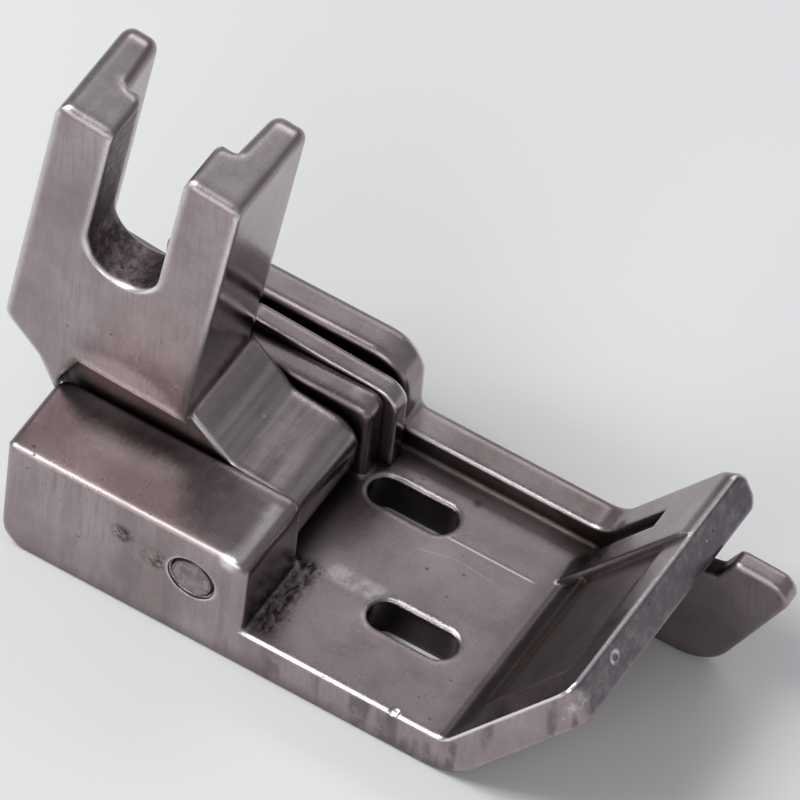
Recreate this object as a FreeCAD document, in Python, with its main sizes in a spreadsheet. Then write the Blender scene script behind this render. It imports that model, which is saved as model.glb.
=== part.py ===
import FreeCAD, Part
import math
import os
import re
import Sketcher

os.makedirs("parts", exist_ok=True)
doc = FreeCAD.newDocument("PresserFoot")

# Sizes in millimetres, angles in degrees. X runs from heel to toe, Y from the near side to the far
# side and Z up. The origin is on the sole's underside, straight below the hinge pin, at mid width.
SIZES = {
    # whole sole
    "half_width": 8.0,
    "heel_x": -10.56,
    "floor_z": 2.5,
    "pin_z": 4.6,
    # hinge pin and its fits
    "pin_radius": 1.2,
    "pin_clearance": 0.03,
    "pin_far_y": "half_width - 0.85",
    "pin_chamfer": 0.15,
    "pin_mouth": 0.12,
    # upturned toe
    "toe_bend_x": 14.92,
    "toe_angle": 54.75,
    "toe_length": 11.23,
    "toe_thick": 2.03,
    "toe_top_z": 11.2,
    "toe_under_round": 3.5,
    "toe_crease_round": 0.9,
    "toe_end_depth": 3.0,
    "toe_foot_run_out": 14,
    "toe_groove_near_y": "low_rail_near_y - 1.2",
    "panel_near_y": -5.75,
    "panel_far_y": 3.15,
    # near cheek, channel, ridge, blade gap and rail across the width
    "cheek_inner_y": -2.9,
    "ridge_near_y": 3.2,
    "ridge_far_y": "blade_near_y - blade_side_gap",
    "rail_near_y": "half_width - 1.75",
    "low_rail_near_y": "half_width - 1.9",
    "cheek_top_z": 7.3,
    "cheek_front_x": 2.96,
    "ridge_top_z": 7.5,
    "ridge_front_x": 2.9,
    "heel_rail_top_z": 8.0,
    "low_rail_top_z": 3.75,
    "inside_z": 1.0,
    # needle slots
    "slot_length": 4.8,
    "slot_width": 1.85,
    "near_slot_x": 9.56,
    "near_slot_y": -3.15,
    "far_slot_x": 5.7,
    "far_slot_y": 3.25,
    # slot and groove for the blade
    "blade_near_y": "half_width - 3.4",
    "blade_thick": 1.0,
    "blade_side_gap": 0.08,
    "blade_slot_rear_x": -5.7,
    "blade_slot_front_x": 1.2,
    "blade_groove_z": 1.95,
    "blade_groove_end_x": "toe_bend_x + 2.58",
    # shank, measured square to itself from the pin axis
    "shank_lean": 6.1,
    "shank_near_y": -3.45,
    "shank_far_y": 3.1,
    "shank_web": 2.9,
    "recess_depth": 0.6,
    "screw_slot_x": -9.15,
    "screw_slot_z": 13.35,
    "screw_slot_radius": 2.05,
    "bar_half_width": 2.95,
    "bar_flare": 0.3,
    "bar_floor_z": 6.0,
    # coil springs
    "hinge_bore_x": -6.5,
    "hinge_coil_x": -6.45,
    "hinge_coil_radius": 0.85,
    "hinge_coil_wire": 0.18,
    "hinge_coil_turns": 4.5,
    "hinge_bore_radius": 1.6,
    "hinge_bore_top_z": 1.6,
    "hinge_coil_top_z": 6.75,
    "blade_coil_x": -7.2,
    "blade_coil_y": "blade_near_y + 0.8",
    "blade_coil_radius": 0.5,
    "blade_coil_wire": 0.12,
    "blade_coil_turns": 5,
}

# Rounded edges, by radius.
ROUNDS = {
    "cheek_edge_round": 0.35,
    "cheek_heel_round": 0.35,
    "cheek_heel_inner_round": 1.2,
    "cheek_heel_near_round": 0.5,
    "cheek_front_round": 0.8,
    "slot_edge_round": 0.12,
    "heel_corner_round": 2.0,
    "ridge_front_round": 0.7,
    "ridge_edge_round": 0.25,
    "rail_front_round": 2.0,
    "rail_foot_round": 0.45,
    "rail_edge_round": 0.35,
    "low_rail_far_edge_round": 0.4,
    "low_rail_bend_round": 1.6,
    "low_rail_end_round": 0.6,
    "toe_corner_round": 0.9,
    "toe_far_end_round": 0.15,
    "toe_far_corner_round": 0.85,
    "toe_far_foot_round": 0.75,
    "toe_tip_round": 0.2,
    "shank_edge_round": 0.5,
    "prong_top_round": 0.35,
    "shank_back_round": 1.0,
    "shank_left_back_round": 0.6,
    "shank_right_back_round": 0.5,
    "shank_rear_round": 1.0,
    "neck_round": 1.4,
    "hinge_slope_round": 0.9,
    "hinge_front_round": 1.6,
    "hinge_foot_round": 0.3,
    "channel_corner_round": 0.4,
    "web_end_round": 0.4,
    "channel_mouth_round": 0.6,
    "blade_lobe_round": 1.2,
    "blade_inner_round": 0.5,
    "blade_notch_round": 0.45,
    "blade_tip_round": 0.95,
    "blade_heel_round": 3.0,
    "tongue_edge_round": 0.2,
}

# Corners of the side views, in order: name, X and Z. Those of the shank are measured from the pin
# axis with the shank upright, and all the others in the frame of the whole part.
CORNERS = {
    "ribbon": [
        ("heel_foot", "heel_x", 0),
        ("bend", "toe_bend_x", 0),
        ("tip", "toe_bend_x + toe_length * cos(toe_angle * 1 deg)", "toe_length * sin(toe_angle * 1 deg)"),
        ("top", "toe_bend_x + toe_top_z / tan(toe_angle * 1 deg) - toe_thick / sin(toe_angle * 1 deg)",
         "toe_top_z"),
        ("crease", "toe_bend_x + floor_z / tan(toe_angle * 1 deg) - toe_thick / sin(toe_angle * 1 deg)",
         "floor_z"),
        ("heel_top", "heel_x", "floor_z"),
    ],
    "cheek": [
        ("heel_foot", "heel_x", "inside_z"),
        ("front_foot", "cheek_front_x", "inside_z"),
        ("front_top", "cheek_front_x", "cheek_top_z"),
        ("heel_top", "heel_x", "cheek_top_z"),
    ],
    "ridge": [
        ("heel_foot", "heel_x", "inside_z"),
        ("front_foot", "ridge_front_x", "inside_z"),
        ("front_top", "ridge_front_x", "ridge_top_z"),
        ("heel_top", "heel_x", "ridge_top_z"),
    ],
    "rail": [
        ("heel_foot", "heel_x", "inside_z"),
        ("front_foot", 3.25, "inside_z"),
        ("front_top", 3.15, "heel_rail_top_z"),
        ("heel_top", "heel_x", "heel_rail_top_z"),
    ],
    "low_rail": [
        ("rear_foot", 2.4, "inside_z"),
        ("front_foot", "toe_bend_x - 0.52", "inside_z"),
        ("in_toe", "toe_bend_x + 5.08", 9.6),
        ("toe_top", "ribbon_top_x", "toe_top_z"),
        ("slope_top", "toe_bend_x + 4.83", 10.82),
        ("slope_foot", "toe_bend_x - 0.24", "low_rail_top_z"),
        ("rear_top", 2.4, "low_rail_top_z"),
    ],
    "toe_band": [
        ("foot_out", "toe_bend_x - 1.22", 2.4),
        ("foot_in", "toe_bend_x + 0.1", 1.6),
        ("in_toe", "toe_bend_x + 5.08", 9.6),
        ("toe_top", "ribbon_top_x", "toe_top_z"),
        ("slope_top", "low_rail_slope_top_x", "low_rail_slope_top_z"),
        ("slope_foot", "low_rail_slope_foot_x", "low_rail_slope_foot_z"),
    ],
    "panel": [
        ("foot_out", "toe_bend_x", 3.88),
        ("top_out", "toe_bend_x + 4", 9.54),
        ("top_in", "toe_bend_x + 4.4", 9.26),
        ("foot_in", "toe_bend_x + 0.4", 3.6),
    ],
    "toe_groove": [
        ("foot_in", "toe_bend_x - 0.57", 2.5),
        ("end_in", "toe_bend_x + 3.02", 7.58),
        ("end_out", "toe_bend_x + 2.4", 8.01),
        ("foot_out", "toe_bend_x - 1.8", 2.5),
    ],
    "shank": [
        ("rear_top", -14.2, 21.3),
        ("front_top", -4.1, 21.3),
        ("front_foot", -4.1, 4.3),
        ("slope_foot", -1.3, 2.35),
        ("nose", 2.6, 2.35),
        ("nose_foot", 2.6, -0.5),
        ("under_front", 1.2, -1.8),
        ("under_pin", -1.0, -1.8),
        ("under_rear", -9.5, -1.1),
        ("rear_low", -10.3, -0.4),
        ("neck_low", -10.6, 0.7),
        ("neck_high", -12.0, 2.75),
        ("rear_foot", -14.2, 4.4),
    ],
    "recess": [
        ("front_foot", "shank_nose_x + 1", "shank_under_pin_z - 1"),
        ("front_top", "shank_nose_x + 1", 4.6),
        ("rear_top", -10.0, 3.95),
        ("rear_bend", -10.75, 1.9),
        ("rear_foot", -10.75, "shank_under_pin_z - 1"),
    ],
    "blade": [
        ("tail_top", -8.3, 6.6),
        ("shoulder_low", -6.0, 6.6),
        ("shoulder_top", -5.2, 8.14),
        ("front_top", 3.6, 7.6),
        ("front_foot", 3.6, 2.56),
        ("neck_rear_top", 1.0, 2.56),
        ("neck_rear_foot", 1.0, 1.3),
        ("tongue_foot", "toe_bend_x + 1.32", 1.3),
        ("tongue_rear", "toe_bend_x + 5.21", 6.74),
        ("notch", "toe_bend_x + 6.38", 7.08),
        ("notch_top", "toe_bend_x + 7.18", 8.6),
        ("tip", "toe_bend_x + 10.78", 8.47),
        ("front_low", "toe_bend_x + 6.7", 0.05),
        ("heel_low", -4.4, 0.05),
        ("tail_low", -5.3, 5.1),
        ("tail_end", -8.3, 5.1),
    ],
}

sheet = doc.addObject("Spreadsheet::Sheet", "Sizes")


def write_sizes():
    """Put every size and corner in the sheet, one row each, under its own name."""
    rows = dict(SIZES)
    rows.update(ROUNDS)
    for outline, corners in CORNERS.items():
        for corner, across, up in corners:
            rows["%s_%s_x" % (outline, corner)] = across
            rows["%s_%s_z" % (outline, corner)] = up
    for row, (name, content) in enumerate(rows.items(), 1):
        sheet.set("A%d" % row, name)
        sheet.set("B%d" % row, "=" + content if isinstance(content, str) else str(content))
        sheet.setAlias("B%d" % row, name)
    doc.recompute()


def linked(expression):
    """The expression as an object outside the sheet writes it."""
    return re.sub(r"\b[a-z]+(?:_[a-z]+)+\b", r"Sizes.\g<0>", expression)


def value(expression):
    """The number that an expression has now."""
    found = sheet.evalExpression(linked(expression))
    return float(getattr(found, "Value", found))


def checked(feature, grows=None, before=None):
    """Rebuild, and stop at once where a feature is broken or changes nothing."""
    doc.recompute()
    broken = "Invalid" in feature.State or feature.Shape.isNull() or not feature.Shape.isValid()
    if broken:
        raise RuntimeError(feature.Label + " is broken")
    if before is not None and (feature.Shape.Volume > before) != grows:
        raise RuntimeError(feature.Label + " changes nothing")
    return feature


def new_body(name):
    """An empty body that carries the name of its sub-part."""
    body = doc.addObject("PartDesign::Body", name)
    body.Label = name
    return body


# A plane's role, and the sign of its normal along its own axis.
PLANES = {"side": ("XZ_Plane", -1), "top": ("XY_Plane", 1), "front": ("YZ_Plane", 1)}


def new_sketch(body, name, view, start):
    """A sketch on an origin plane of the body, moved along its axis to start."""
    role, sign = PLANES[view]
    plane = [part for part in body.Origin.OriginFeatures if part.Role == role][0]
    sketch = body.newObject("Sketcher::SketchObject", name)
    sketch.AttachmentSupport = [(plane, "")]
    sketch.MapMode = "FlatFace"
    sketch.setExpression("AttachmentOffset.Base.z", linked("%d * (%s)" % (sign, start)))
    return sketch


def pin_point(sketch, geometry, point, across, up):
    """Hold one point of the sketch at two distances from its origin."""
    for kind, expression in (("DistanceX", across), ("DistanceY", up)):
        now = value(expression)
        index = sketch.addConstraint(Sketcher.Constraint(kind, -1, 1, geometry, point, now))
        sketch.setExpression("Constraints[%d]" % index, linked(expression))


def draw_polygon(sketch, places):
    """A closed run of lines with every corner held."""
    spots = [FreeCAD.Vector(value(across), value(up), 0) for across, up in places]
    count = len(places)
    for index in range(count):
        sketch.addGeometry(Part.LineSegment(spots[index], spots[(index + 1) % count]), False)
    for index in range(count):
        sketch.addConstraint(Sketcher.Constraint("Coincident", index, 2, (index + 1) % count, 1))
    for index, (across, up) in enumerate(places):
        pin_point(sketch, index, 1, across, up)


def draw_circle(sketch, across, up, radius):
    """A circle with its centre and radius held."""
    centre = FreeCAD.Vector(value(across), value(up), 0)
    circle = Part.Circle(centre, FreeCAD.Vector(0, 0, 1), value(radius))
    index = sketch.addGeometry(circle, False)
    pin_point(sketch, index, 3, across, up)
    held = sketch.addConstraint(Sketcher.Constraint("Radius", index, value(radius)))
    sketch.setExpression("Constraints[%d]" % held, linked(radius))


def extrude(body, name, kind, sketch, view, low, high):
    """A pad or pocket that fills the space from low to high."""
    before = body.Shape.Volume if body.Tip else 0
    feature = body.newObject("PartDesign::" + kind, name)
    feature.Profile = sketch
    feature.Reversed = (kind == "Pocket") == (PLANES[view][1] > 0)
    feature.setExpression("Length", linked("(%s) - (%s)" % (high, low)))
    return checked(feature, kind == "Pad", before)


def prism(body, name, kind, view, places, low, high):
    """A polygon padded or pocketed from low to high."""
    sketch = new_sketch(body, name + "_outline", view, low)
    draw_polygon(sketch, places)
    return extrude(body, name, kind, sketch, view, low, high)


def rod(body, name, kind, view, across, up, radius, low, high):
    """A circle padded or pocketed from low to high."""
    sketch = new_sketch(body, name + "_outline", view, low)
    draw_circle(sketch, across, up, radius)
    return extrude(body, name, kind, sketch, view, low, high)


def box_places(left, right, bottom, top):
    """The four corners of a rectangle."""
    return [(left, bottom), (right, bottom), (right, top), (left, top)]


def outline_places(outline):
    """The corners of a named outline."""
    return [("%s_%s_x" % (outline, corner), "%s_%s_z" % (outline, corner))
            for corner, across, up in CORNERS[outline]]


def runs_along(edge, axis):
    """Whether an edge runs along the axis from end to end."""
    run = edge.valueAt(edge.LastParameter) - edge.valueAt(edge.FirstParameter)
    return edge.Length > 0.01 and abs(run.dot(axis)) > 0.999 * edge.Length


def nearest_edges(shape, axis, spots):
    """The names of the edges closest to the spots; axis, where given, is the way they run."""
    names = []
    for spot in spots:
        point = Part.Vertex(FreeCAD.Vector(*[value(part) for part in spot]))
        found = []
        for index, edge in enumerate(shape.Edges, 1):
            if axis is not None and not runs_along(edge, axis):
                continue
            found.append((edge.distToShape(point)[0], -edge.Length, "Edge%d" % index))
        distance, length, name = min(found)
        if distance > 0.05:
            raise RuntimeError("no edge at %s" % (spot,))
        names.append(name)
    return names


ALONG = {"x": FreeCAD.Vector(1, 0, 0), "y": FreeCAD.Vector(0, 1, 0), "z": FreeCAD.Vector(0, 0, 1)}


def rounded(body, name, radius, spots, axis=None):
    """Round the edges closest to the spots."""
    base = body.Tip
    feature = body.newObject("PartDesign::Fillet", name)
    feature.Base = (base, nearest_edges(base.Shape, ALONG.get(axis), spots))
    feature.setExpression("Radius", linked(radius))
    return checked(feature)


def corner_spot(outline, corner, across):
    """A spot on the edge that a corner of an outline leaves, at a place across the width."""
    return ("%s_%s_x" % (outline, corner), across, "%s_%s_z" % (outline, corner))


def draw_slot(sketch, across, up, length, width):
    """A straight slot with round ends, its long way along the sketch's first axis."""
    radius = value(width) / 2
    reach = (value(length) - value(width)) / 2
    middle = FreeCAD.Vector(value(across), value(up), 0)
    aside, above = FreeCAD.Vector(reach, 0, 0), FreeCAD.Vector(0, radius, 0)
    normal, quarter = FreeCAD.Vector(0, 0, 1), math.pi / 2
    right = Part.ArcOfCircle(Part.Circle(middle + aside, normal, radius), -quarter, quarter)
    left = Part.ArcOfCircle(Part.Circle(middle - aside, normal, radius), quarter, 3 * quarter)
    sketch.addGeometry(right, False)
    sketch.addGeometry(Part.LineSegment(middle + aside + above, middle - aside + above), False)
    sketch.addGeometry(left, False)
    sketch.addGeometry(Part.LineSegment(middle - aside - above, middle + aside - above), False)
    for index in range(4):
        sketch.addConstraint(Sketcher.Constraint("Tangent", index, 2, (index + 1) % 4, 1))
    sketch.addConstraint(Sketcher.Constraint("Equal", 0, 2))
    held = sketch.addConstraint(Sketcher.Constraint("Radius", 0, radius))
    sketch.setExpression("Constraints[%d]" % held, linked("(%s) / 2" % width))
    pin_point(sketch, 0, 3, "%s + (%s - %s) / 2" % (across, length, width), up)
    pin_point(sketch, 2, 3, "%s - (%s - %s) / 2" % (across, length, width), up)


def needle_slot(body, name, across, up):
    """A slot through the floor with its upper edge broken."""
    sketch = new_sketch(body, name + "_outline", "top", "0")
    draw_slot(sketch, across, up, "slot_length", "slot_width")
    extrude(body, name, "Pocket", sketch, "top", "0", "floor_z")
    rounded(body, name + "_edge", "slot_edge_round", [(across, up + " - slot_width / 2", "floor_z")], "x")


def draw_corner(sketch, corner, radius, inward):
    """What a rounded corner leaves of a sharp one; inward holds the two signs toward the solid."""
    reach, (across, up) = value(radius), corner
    edge = FreeCAD.Vector(value(across), value(up), 0)
    aside, above = FreeCAD.Vector(inward[0] * reach, 0, 0), FreeCAD.Vector(0, inward[1] * reach, 0)
    circle = Part.Circle(edge + aside + above, FreeCAD.Vector(0, 0, 1), reach)
    first, last = (edge + above, edge + aside) if inward[0] == inward[1] else (edge + aside, edge + above)
    middle = circle.Center + (edge - circle.Center).normalize() * reach
    sketch.addGeometry(Part.Arc(first, middle, last), False)
    sketch.addGeometry(Part.LineSegment(last, edge), False)
    sketch.addGeometry(Part.LineSegment(edge, first), False)
    for index in range(3):
        sketch.addConstraint(Sketcher.Constraint("Coincident", index, 2, (index + 1) % 3, 1))
    spots = {True: (across, "%s + %d * %s" % (up, inward[1], radius)),
             False: ("%s + %d * %s" % (across, inward[0], radius), up)}
    pin_point(sketch, 0, 1, *spots[inward[0] == inward[1]])
    pin_point(sketch, 1, 1, *spots[inward[0] != inward[1]])
    pin_point(sketch, 2, 1, across, up)
    held = sketch.addConstraint(Sketcher.Constraint("Radius", 0, reach))
    sketch.setExpression("Constraints[%d]" % held, linked(radius))


def corner_cut(body, name, view, corner, radius, inward, low, high):
    """Round a corner that no fillet reaches, from low to high."""
    sketch = new_sketch(body, name + "_outline", view, low)
    draw_corner(sketch, corner, radius, inward)
    return extrude(body, name, "Pocket", sketch, view, low, high)


# How far the bevel at the toe's tip leans back from upright.
BEVEL_LEAN = "atan2(ribbon_tip_x - ribbon_top_x; ribbon_top_z - ribbon_tip_z)"


def leaning_sketch(body, name, view, turn, across, up):
    """A sketch square to the bevel or along it, its origin at a place of the side view."""
    axis, shifts = {"top": (ALONG["y"], ("x", "z")), "front": (ALONG["x"], ("z", "y"))}[view]
    sketch = new_sketch(body, name + "_outline", view, "0")
    sketch.AttachmentOffset = FreeCAD.Placement(FreeCAD.Vector(), FreeCAD.Rotation(axis, value(turn)))
    sketch.setExpression("AttachmentOffset.Rotation.Angle", linked(turn))
    for shift, place in zip(shifts, (across, up)):
        sketch.setExpression("AttachmentOffset.Base." + shift, linked(place))
    return sketch


def round_toe_end(body):
    """Round the toe's far end: along the bevel, square to it at the top, and running out below the tip."""
    for name, turn in (("toe_far_end", "-" + BEVEL_LEAN),
                       ("toe_far_foot", "(90 - toe_angle - toe_foot_run_out) * 1 deg")):
        sketch = leaning_sketch(body, name, "top", turn, "ribbon_tip_x - toe_length * sin(%s)" % turn,
                                "ribbon_tip_z - toe_length * cos(%s)" % turn)
        draw_corner(sketch, ("0", "half_width"), name + "_round", (-1, -1))
        extrude(body, name, "Pocket", sketch, "top", "-toe_length", "toe_length")
    turn = "-" + BEVEL_LEAN
    sketch = leaning_sketch(body, "toe_far_corner", "front", turn, "ribbon_tip_x - toe_end_depth * cos(%s)" % turn,
                            "ribbon_tip_z + toe_end_depth * sin(%s)" % turn)
    bevel = "(ribbon_top_z - ribbon_tip_z) / cos(%s)" % BEVEL_LEAN
    draw_corner(sketch, ("half_width", bevel), "toe_far_corner_round", (-1, -1))
    extrude(body, "toe_far_corner", "Pocket", sketch, "front", "0", "toe_end_depth + 1")


def make_sole():
    """Floor, toe, cheeks and rail in one piece, with the needle slots and the blade's groove."""
    body = new_body("sole")
    near, far = "-half_width", "half_width"
    prism(body, "ribbon", "Pad", "side", outline_places("ribbon"), near, far)
    rounded(body, "toe_under", "toe_under_round", [corner_spot("ribbon", "bend", "0")], "y")
    rounded(body, "toe_crease", "toe_crease_round", [corner_spot("ribbon", "crease", "0")], "y")
    bevel_x, bevel_z = "(ribbon_tip_x + ribbon_top_x) / 2", "(ribbon_tip_z + ribbon_top_z) / 2"
    rounded(body, "toe_near_corner", "toe_corner_round", [(bevel_x, near, bevel_z)])
    rounded(body, "toe_tip", "toe_tip_round", [corner_spot("ribbon", "tip", "0")], "y")

    prism(body, "near_cheek", "Pad", "side", outline_places("cheek"), near, "cheek_inner_y")
    middle = "(cheek_inner_y - half_width) / 2"
    rounded(body, "cheek_front", "cheek_front_round", [corner_spot("cheek", "front_top", middle)], "y")
    rounded(body, "cheek_heel", "cheek_heel_round", [corner_spot("cheek", "heel_top", middle)], "y")
    rounded(body, "cheek_edges", "cheek_edge_round",
            [("heel_x / 2", near, "cheek_top_z"), ("heel_x / 2", "cheek_inner_y", "cheek_top_z")], "x")

    prism(body, "far_ridge", "Pad", "side", outline_places("ridge"), "ridge_near_y", "ridge_far_y")
    middle = "(ridge_near_y + ridge_far_y) / 2"
    rounded(body, "ridge_front", "ridge_front_round", [corner_spot("ridge", "front_top", middle)], "y")
    rounded(body, "ridge_heel", "ridge_front_round", [corner_spot("ridge", "heel_top", middle)], "y")
    rounded(body, "ridge_edge", "ridge_edge_round", [("heel_x / 2", "ridge_near_y", "ridge_top_z")], "x")

    prism(body, "low_rail", "Pad", "side", outline_places("low_rail"), "low_rail_near_y", far)
    middle = "(low_rail_near_y + half_width) / 2"
    rounded(body, "low_rail_bend", "low_rail_bend_round", [corner_spot("low_rail", "slope_foot", middle)], "y")
    rounded(body, "low_rail_end", "low_rail_end_round", [corner_spot("low_rail", "slope_top", middle)], "y")
    along = "(rail_front_top_x + low_rail_slope_foot_x) / 2"
    rounded(body, "low_rail_far_edge", "low_rail_far_edge_round", [(along, far, "low_rail_top_z")], "x")
    prism(body, "toe_band", "Pad", "side", outline_places("toe_band"), "panel_far_y", "low_rail_near_y")
    groove_near = "toe_groove_near_y"
    prism(body, "toe_groove", "Pocket", "side", outline_places("toe_groove"), groove_near, "low_rail_near_y")
    prism(body, "heel_rail", "Pad", "side", outline_places("rail"), "rail_near_y", far)
    middle = "(rail_near_y + half_width) / 2"
    rounded(body, "rail_front", "rail_front_round", [corner_spot("rail", "front_top", middle)], "y")
    rounded(body, "rail_heel", "cheek_heel_round", [corner_spot("rail", "heel_top", middle)], "y")
    rounded(body, "rail_edge", "rail_edge_round", [("heel_x / 2", "rail_near_y", "heel_rail_top_z")], "x")
    foot = "rail_front_foot_x + (low_rail_top_z - inside_z) / (heel_rail_top_z - inside_z)"
    foot += " * (rail_front_top_x - rail_front_foot_x)"
    rounded(body, "rail_foot", "rail_foot_round", [(foot, middle, "low_rail_top_z")], "y")
    round_toe_end(body)
    corner_cut(body, "cheek_heel_inner", "top", ("heel_x", "cheek_inner_y"), "cheek_heel_inner_round", (1, -1),
               "floor_z", "cheek_top_z")
    corner_cut(body, "cheek_heel_near", "top", ("heel_x", near), "cheek_heel_near_round", (1, 1),
               "0", "cheek_top_z")
    corner_cut(body, "heel_corner", "side", ("heel_x", "0"), "heel_corner_round", (1, 1), near, far)

    rod(body, "pin_hole", "Pocket", "side", "0", "pin_z", "pin_radius", near, "pin_far_y")
    rod(body, "pin_mouth", "Pocket", "side", "0", "pin_z", "pin_radius + pin_mouth", near,
        "pin_mouth - half_width")
    slot_near = "blade_near_y - blade_side_gap"
    slot_far = "blade_near_y + blade_thick + blade_side_gap"
    prism(body, "blade_slot", "Pocket", "side",
          box_places("blade_slot_rear_x", "blade_slot_front_x", "0", "floor_z"), slot_near, slot_far)
    prism(body, "blade_groove", "Pocket", "side",
          box_places("blade_slot_rear_x", "blade_groove_end_x", "0", "blade_groove_z"), slot_near, slot_far)
    prism(body, "toe_panel", "Pocket", "side", outline_places("panel"), "panel_near_y", "panel_far_y")
    needle_slot(body, "near_slot", "near_slot_x", "near_slot_y")
    needle_slot(body, "far_slot", "far_slot_x", "far_slot_y")
    return body


def round_prongs(body, near, far):
    """Soften the prongs all round: the upper far edge first, so that the upright edges run on over it."""
    height = "(screw_slot_z + shank_rear_top_z) / 2"
    reach = "bar_half_width + bar_flare"
    web_far = "shank_near_y + shank_web"
    top = "shank_rear_top_z"
    corner_cut(body, "top_back", "front", (far, top), "shank_back_round", (-1, -1),
               "shank_rear_top_x", "shank_front_top_x")
    rounded(body, "right_back", "shank_right_back_round", [("shank_front_top_x", far, height)], "z")
    rounded(body, "left_back", "shank_left_back_round", [("shank_rear_top_x", far, height)], "z")
    rounded(body, "channel_mouth", "channel_mouth_round",
            [("screw_slot_x - (%s)" % reach, far, height), ("screw_slot_x + " + reach, far, height)], "z")
    rounded(body, "channel_corners", "channel_corner_round",
            [("screw_slot_x - bar_half_width", web_far, height),
             ("screw_slot_x + bar_half_width", web_far, height)], "z")
    rounded(body, "web_ends", "web_end_round", [("screw_slot_x - screw_slot_radius", web_far, height)], "z")
    corner_cut(body, "rear_prong_inside", "side", ("screw_slot_x - screw_slot_radius", top),
               "prong_top_round", (-1, -1), near, web_far)
    corner_cut(body, "front_prong_inside", "side", ("screw_slot_x + screw_slot_radius", top),
               "prong_top_round", (1, -1), near, web_far)
    corner_cut(body, "top_front", "front", (near, top), "shank_edge_round", (1, -1),
               "shank_rear_top_x", "shank_front_top_x")


def make_shank():
    """Channel block and hinge block in one piece, drawn upright about the pin axis."""
    body = new_body("shank")
    near, far = "shank_near_y", "shank_far_y"
    prism(body, "block", "Pad", "side", outline_places("shank"), near, far)
    for radius, corners in (
            ("shank_rear_round", ["rear_foot"]),
            ("neck_round", ["neck_high"]),
            ("hinge_slope_round", ["front_foot", "slope_foot"]),
            ("hinge_front_round", ["nose"]),
            ("hinge_foot_round", ["nose_foot", "under_front", "rear_low"])):
        rounded(body, corners[0] + "_round", radius, [corner_spot("shank", c, "0") for c in corners], "y")
    web_far = "shank_near_y + shank_web"
    prism(body, "recess", "Pocket", "side", outline_places("recess"), near, "shank_near_y + recess_depth")
    top = "shank_rear_top_z"
    prism(body, "screw_slot", "Pocket", "side",
          box_places("screw_slot_x - screw_slot_radius", "screw_slot_x + screw_slot_radius",
                     "screw_slot_z", top), near, web_far)
    rod(body, "screw_slot_foot", "Pocket", "side", "screw_slot_x", "screw_slot_z",
        "screw_slot_radius", near, web_far)
    prism(body, "bar_channel", "Pocket", "top",
          [("screw_slot_x - bar_half_width", web_far), ("screw_slot_x + bar_half_width", web_far),
           ("screw_slot_x + bar_half_width + bar_flare", far),
           ("screw_slot_x - bar_half_width - bar_flare", far)], "bar_floor_z", top)
    rod(body, "pin_bore", "Pocket", "side", "0", "0", "pin_radius + pin_clearance", near, far)
    rod(body, "coil_bore", "Pocket", "top", "hinge_bore_x", "(shank_near_y + shank_far_y) / 2",
        "hinge_bore_radius", "shank_under_pin_z - 1", "hinge_bore_top_z")
    round_prongs(body, near, far)
    body.Placement = FreeCAD.Placement(FreeCAD.Vector(), FreeCAD.Rotation(ALONG["y"], value("shank_lean")))
    body.setExpression("Placement.Rotation.Angle", linked("shank_lean"))
    body.setExpression("Placement.Base.z", linked("pin_z"))
    return body


def make_hinge_pin():
    """The plain pin, flush with the near cheek and blind in the rail."""
    body = new_body("hinge_pin")
    rod(body, "bar", "Pad", "side", "0", "0", "pin_radius", "-half_width", "pin_far_y")
    base = body.Tip
    feature = body.newObject("PartDesign::Chamfer", "near_rim")
    feature.Base = (base, nearest_edges(base.Shape, None, [("0", "-half_width", "pin_radius")]))
    feature.setExpression("Size", linked("pin_chamfer"))
    checked(feature)
    body.setExpression("Placement.Base.z", linked("pin_z"))
    return body


def make_guide_blade():
    """The flat plate on the pin: lobe and tail at the heel, low neck, and tongue ahead of the toe."""
    body = new_body("guide_blade")
    near, far = "blade_near_y", "blade_near_y + blade_thick"
    prism(body, "plate", "Pad", "side", outline_places("blade"), near, far)
    for radius, corners in (
            ("blade_lobe_round", ["front_top", "shoulder_top"]),
            ("blade_inner_round", ["shoulder_low", "tail_top", "tail_end", "tongue_foot", "heel_low"]),
            ("blade_notch_round", ["tongue_rear", "notch", "notch_top"]),
            ("blade_tip_round", ["tip"]),
            ("blade_heel_round", ["front_low"])):
        rounded(body, corners[0] + "_round", radius, [corner_spot("blade", c, near) for c in corners], "y")
    rounded(body, "tongue_edge", "tongue_edge_round",
            [("(blade_notch_top_x + blade_tip_x) / 2", near, "(blade_notch_top_z + blade_tip_z) / 2")])
    rod(body, "pin_bore", "Pocket", "side", "0", "pin_z", "pin_radius + pin_clearance", near, far)
    return body


def make_coil(name, across, along, radius, wire, turns, foot, head):
    """A round wire wound between two heights, its wire's skin touching both."""
    helix = doc.addObject("Part::Helix", name + "_path")
    reach = "(%s) - (%s) - 2 * %s" % (head, foot, wire)
    helix.setExpression("Radius", linked(radius))
    helix.setExpression("Height", linked(reach))
    helix.setExpression("Pitch", linked("(%s) / %s" % (reach, turns)))
    ring = doc.addObject("Part::Circle", name + "_wire")
    ring.setExpression("Radius", linked(wire))
    ring.Placement = FreeCAD.Placement(FreeCAD.Vector(), FreeCAD.Rotation(ALONG["x"], 90))
    ring.setExpression("Placement.Base.x", linked(radius))
    coil = doc.addObject("Part::Sweep", name)
    coil.Label = name
    coil.Sections = [ring]
    coil.Spine = (helix, ["Edge1"])
    coil.Solid = True
    coil.Frenet = True
    coil.setExpression("Placement.Base.x", linked(across))
    coil.setExpression("Placement.Base.y", linked(along))
    coil.setExpression("Placement.Base.z", linked("%s + %s" % (foot, wire)))
    return checked(coil)


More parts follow.
